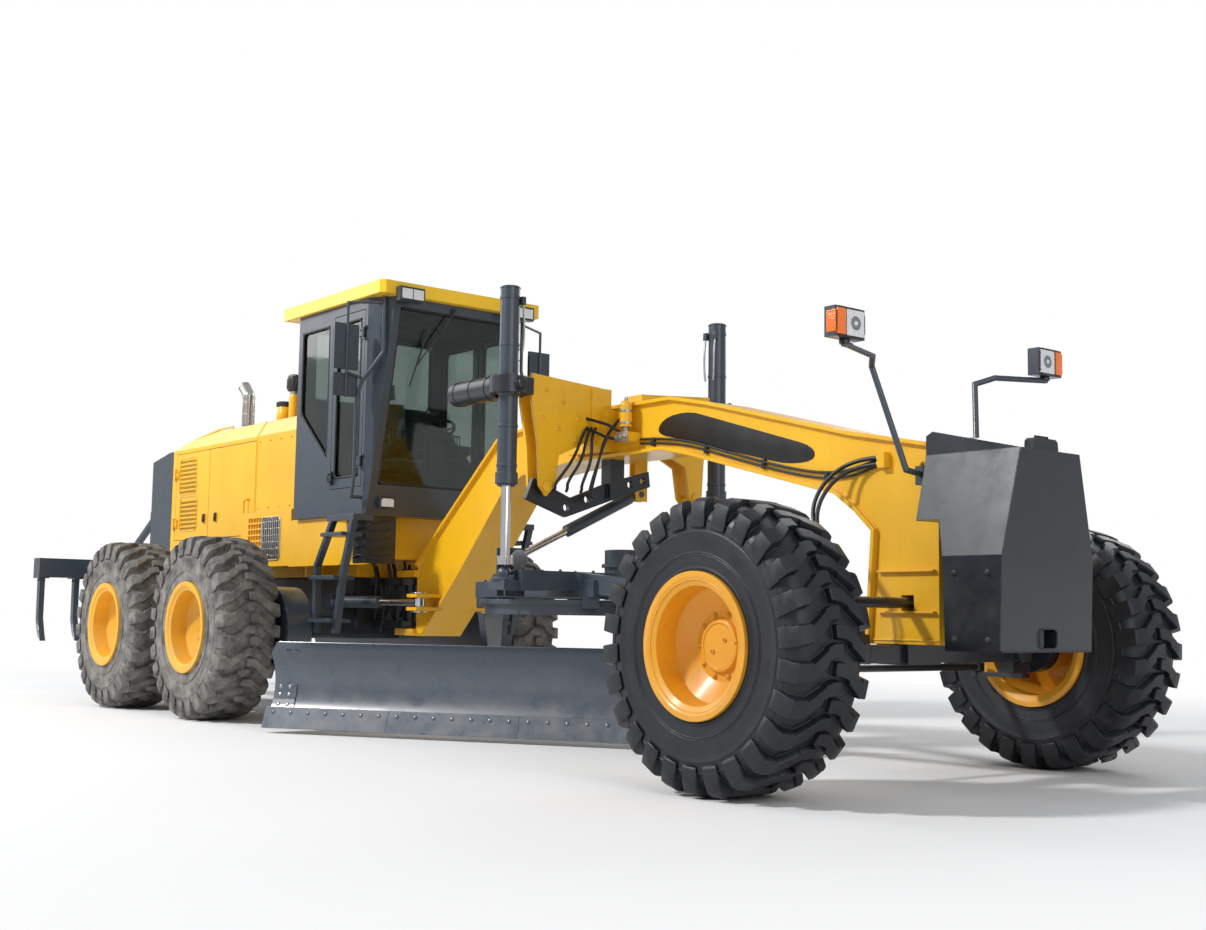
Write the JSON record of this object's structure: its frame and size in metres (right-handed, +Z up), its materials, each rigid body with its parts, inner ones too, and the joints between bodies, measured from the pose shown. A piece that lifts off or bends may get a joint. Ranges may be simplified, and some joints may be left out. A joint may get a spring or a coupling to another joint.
{
  "type": "motor grader",
  "caption": "Articulated motor grader with glazed cab, tandem drive, arched front frame, circle and side-shifting blade, push block and rear ripper.",
  "frame": {"origin": "on the ground, midway between the push block's front and the ripper's back, on the machine's middle plane", "axes": "+X forward, +Y to the operator's left, +Z up"},
  "size_m": [12.88, 3.484, 3.71],
  "materials": {
    "yellow_paint": "gloss enamel",
    "grey_paint": "satin enamel",
    "black_paint": "satin enamel",
    "tyre_rubber": "matte",
    "glass": "clear tinted",
    "chrome_rod": "polished",
    "steel": "worn",
    "seat": "matte",
    "cast": "as cast",
    "hose_rubber": "satin"
  },
  "bodies": {
    "rear_frame": {"rear_chassis": "grey_paint", "tandem_drive": "grey_paint", "engine": "cast", "engine_hood": "yellow_paint", "radiator_guard": "grey_paint", "hood_stacks": "steel", "cab_platform": "yellow_paint", "side_boxes": "yellow_paint", "cab_shell": "grey_paint", "cab_roof": "yellow_paint", "cab_glass": "glass", "operator_station": "seat", "access_ladders": "grey_paint", "mirrors_and_lamps": "grey_paint"},
    "front_frame": {"front_frame": "yellow_paint", "push_block": "grey_paint", "lamp_arms": "black_paint", "valve_block": "yellow_paint", "lift_yokes": "grey_paint", "front_axle": "black_paint", "nose_hose_upper": "hose_rubber", "nose_hose_lower": "hose_rubber"},
    "knuckle_right": {"knuckle_right": "black_paint"},
    "knuckle_left": {"knuckle_left": "black_paint"},
    "tie_rod": {"tie_rod": "black_paint"},
    "wheel_front_right": {"tyre_front_right": "tyre_rubber", "rim_front_right": "yellow_paint"},
    "wheel_front_left": {"tyre_front_left": "tyre_rubber", "rim_front_left": "yellow_paint"},
    "wheel_middle_right": {"tyre_middle_right": "tyre_rubber", "rim_middle_right": "yellow_paint"},
    "wheel_middle_left": {"tyre_middle_left": "tyre_rubber", "rim_middle_left": "yellow_paint"},
    "wheel_rear_right": {"tyre_rear_right": "tyre_rubber", "rim_rear_right": "yellow_paint"},
    "wheel_rear_left": {"tyre_rear_left": "tyre_rubber", "rim_rear_left": "yellow_paint"},
    "drawbar": {"drawbar": "grey_paint"},
    "lift_barrel_right": {"lift_barrel_right": "grey_paint"},
    "lift_rod_right": {"lift_rod_right": "chrome_rod"},
    "lift_barrel_left": {"lift_barrel_left": "grey_paint"},
    "lift_rod_left": {"lift_rod_left": "chrome_rod"},
    "shift_barrel": {"shift_barrel": "grey_paint"},
    "shift_rod": {"shift_rod": "chrome_rod"},
    "articulation_barrel_right": {"articulation_barrel_right": "grey_paint"},
    "articulation_rod_right": {"articulation_rod_right": "chrome_rod"},
    "articulation_barrel_left": {"articulation_barrel_left": "grey_paint"},
    "articulation_rod_left": {"articulation_rod_left": "chrome_rod"},
    "circle": {"circle": "grey_paint"},
    "moldboard": {"moldboard": "grey_paint"},
    "cab_door_right": {"cab_door_right": "grey_paint", "door_glass_right": "glass"},
    "engine_door_right": {"engine_door_right": "yellow_paint"},
    "cab_door_left": {"cab_door_left": "grey_paint", "door_glass_left": "glass"},
    "engine_door_left": {"engine_door_left": "yellow_paint"},
    "ripper": {"ripper": "grey_paint"},
    "ripper_barrels": {"ripper_barrels": "grey_paint"},
    "ripper_rods": {"ripper_rods": "chrome_rod"}
  },
  "joints": [
    {"name": "articulation", "type": "hinge", "parent": "rear_frame", "child": "front_frame", "pos_m": [-0.16, 0, 1.03], "axis": [0, 0, -1], "range_deg": [-20, 20]},
    {"name": "steer_right", "type": "hinge", "parent": "front_frame", "child": "knuckle_right", "pos_m": [5.44, -1.1, 0.79], "axis": [0, 0, -1], "range_deg": [-40, 40]},
    {"name": "steer_left", "type": "hinge", "parent": "front_frame", "child": "knuckle_left", "pos_m": [5.44, 1.1, 0.79], "axis": [0, 0, -1], "range_deg": [-40, 40]},
    {"name": "tie_rod_turn", "type": "hinge", "parent": "knuckle_left", "child": "tie_rod", "pos_m": [5.11, 1.1, 0.645], "axis": [0, 0, -1], "range_deg": [-40, 40]},
    {"name": "roll_front_right", "type": "hinge", "parent": "knuckle_right", "child": "wheel_front_right", "pos_m": [5.44, -1.467, 0.79], "axis": [0, 1, 0], "continuous": true},
    {"name": "roll_front_left", "type": "hinge", "parent": "knuckle_left", "child": "wheel_front_left", "pos_m": [5.44, 1.467, 0.79], "axis": [0, 1, 0], "continuous": true},
    {"name": "roll_middle_right", "type": "hinge", "parent": "rear_frame", "child": "wheel_middle_right", "pos_m": [-1.03, -1.467, 0.79], "axis": [0, 1, 0], "continuous": true},
    {"name": "roll_middle_left", "type": "hinge", "parent": "rear_frame", "child": "wheel_middle_left", "pos_m": [-1.03, 1.467, 0.79], "axis": [0, 1, 0], "continuous": true},
    {"name": "roll_rear_right", "type": "hinge", "parent": "rear_frame", "child": "wheel_rear_right", "pos_m": [-2.9, -1.467, 0.79], "axis": [0, 1, 0], "continuous": true},
    {"name": "roll_rear_left", "type": "hinge", "parent": "rear_frame", "child": "wheel_rear_left", "pos_m": [-2.9, 1.467, 0.79], "axis": [0, 1, 0], "continuous": true},
    {"name": "drawbar_lift", "type": "hinge", "parent": "front_frame", "child": "drawbar", "pos_m": [5.05, 0, 0.96], "axis": [0, 1, 0], "range_deg": [-6, 7]},
    {"name": "lift_barrel_tilt_right", "type": "hinge", "parent": "front_frame", "child": "lift_barrel_right", "pos_m": [2.69, -1.01, 2.55], "axis": [0, -1, 0], "range_deg": [-1.25, 1.45]},
    {"name": "lift_stroke_right", "type": "slide", "parent": "lift_barrel_right", "child": "lift_rod_right", "axis": [0, 0, -1], "range_m": [-0.2893, 0.2481]},
    {"name": "lift_barrel_tilt_left", "type": "hinge", "parent": "front_frame", "child": "lift_barrel_left", "pos_m": [2.69, 1.01, 2.55], "axis": [0, -1, 0], "range_deg": [-1.25, 1.45]},
    {"name": "lift_stroke_left", "type": "slide", "parent": "lift_barrel_left", "child": "lift_rod_left", "axis": [0, 0, -1], "range_m": [-0.2893, 0.2481]},
    {"name": "shift_barrel_tilt", "type": "hinge", "parent": "front_frame", "child": "shift_barrel", "pos_m": [2.48, 0.38, 1.88], "axis": [-0.9876, -0.0663, 0.1422], "range_deg": [-10.92, 12.73]},
    {"name": "shift_stroke", "type": "slide", "parent": "shift_barrel", "child": "shift_rod", "axis": [0, -0.9064, -0.4225], "range_m": [-0.1336, 0.1147]},
    {"name": "articulation_barrel_swing_right", "type": "hinge", "parent": "rear_frame", "child": "articulation_barrel_right", "pos_m": [-0.61, -0.5, 1.03], "axis": [0, 0, -1], "range_deg": [-10.78, 10.78]},
    {"name": "articulation_stroke_right", "type": "slide", "parent": "articulation_barrel_right", "child": "articulation_rod_right", "axis": [0.9885, 0.1514, 0], "range_m": [-0.1497, 0.1497]},
    {"name": "articulation_barrel_swing_left", "type": "hinge", "parent": "rear_frame", "child": "articulation_barrel_left", "pos_m": [-0.61, 0.5, 1.03], "axis": [0, 0, -1], "range_deg": [-10.78, 10.78]},
    {"name": "articulation_stroke_left", "type": "slide", "parent": "articulation_barrel_left", "child": "articulation_rod_left", "axis": [0.9885, -0.1514, 0], "range_m": [-0.1497, 0.1497]},
    {"name": "circle_turn", "type": "hinge", "parent": "drawbar", "child": "circle", "pos_m": [2.29, 0, 1], "axis": [0, 0, 1], "continuous": true},
    {"name": "blade_side_shift", "type": "slide", "parent": "circle", "child": "moldboard", "axis": [-0.8508, -0.5255, 0], "range_m": [-0.9, 0.3]},
    {"name": "cab_door_open_right", "type": "hinge", "parent": "rear_frame", "child": "cab_door_right", "pos_m": [0.243, -0.798, 2.75], "axis": [0, 0, 1], "range_deg": [0, 75]},
    {"name": "engine_door_open_right", "type": "hinge", "parent": "rear_frame", "child": "engine_door_right", "pos_m": [-4.097, -0.578, 2.07], "axis": [0, 0, -1], "range_deg": [0, 80]},
    {"name": "cab_door_open_left", "type": "hinge", "parent": "rear_frame", "child": "cab_door_left", "pos_m": [0.243, 0.798, 2.75], "axis": [0, 0, -1], "range_deg": [0, 75]},
    {"name": "engine_door_open_left", "type": "hinge", "parent": "rear_frame", "child": "engine_door_left", "pos_m": [-4.097, 0.578, 2.07], "axis": [0, 0, 1], "range_deg": [0, 80]},
    {"name": "ripper_lower", "type": "hinge", "parent": "rear_frame", "child": "ripper", "pos_m": [-4.9, 0, 1.12], "axis": [0, -1, 0], "range_deg": [0, 28]},
    {"name": "ripper_barrel_tilt", "type": "hinge", "parent": "rear_frame", "child": "ripper_barrels", "pos_m": [-4.88, 0, 1.96], "axis": [0, -1, 0], "range_deg": [0, 15.29]},
    {"name": "ripper_stroke", "type": "slide", "parent": "ripper_barrels", "child": "ripper_rods", "axis": [-0.8721, 0, -0.4893], "range_m": [0, 0.3542]}
  ],
  "couplings": [
    {"joint": "steer_right", "follows": "steer_left", "ratio": 1},
    {"joint": "tie_rod_turn", "follows": "steer_left", "ratio": -1},
    {"joint": "lift_barrel_tilt_right", "follows": "drawbar_lift", "ratio": 0.2},
    {"joint": "lift_stroke_right", "follows": "drawbar_lift", "m_per_rad": -2.36},
    {"joint": "lift_barrel_tilt_left", "follows": "drawbar_lift", "ratio": 0.2},
    {"joint": "lift_stroke_left", "follows": "drawbar_lift", "m_per_rad": -2.36},
    {"joint": "shift_barrel_tilt", "follows": "drawbar_lift", "ratio": 1.8117},
    {"joint": "shift_stroke", "follows": "drawbar_lift", "m_per_rad": -1.0857},
    {"joint": "articulation_barrel_swing_right", "follows": "articulation", "ratio": 0.53648},
    {"joint": "articulation_stroke_right", "follows": "articulation", "m_per_rad": -0.42611},
    {"joint": "articulation_barrel_swing_left", "follows": "articulation", "ratio": 0.53648},
    {"joint": "articulation_stroke_left", "follows": "articulation", "m_per_rad": 0.42611},
    {"joint": "ripper_barrel_tilt", "follows": "ripper_lower", "ratio": 0.54434},
    {"joint": "ripper_stroke", "follows": "ripper_lower", "m_per_rad": 0.72281}
  ]
}
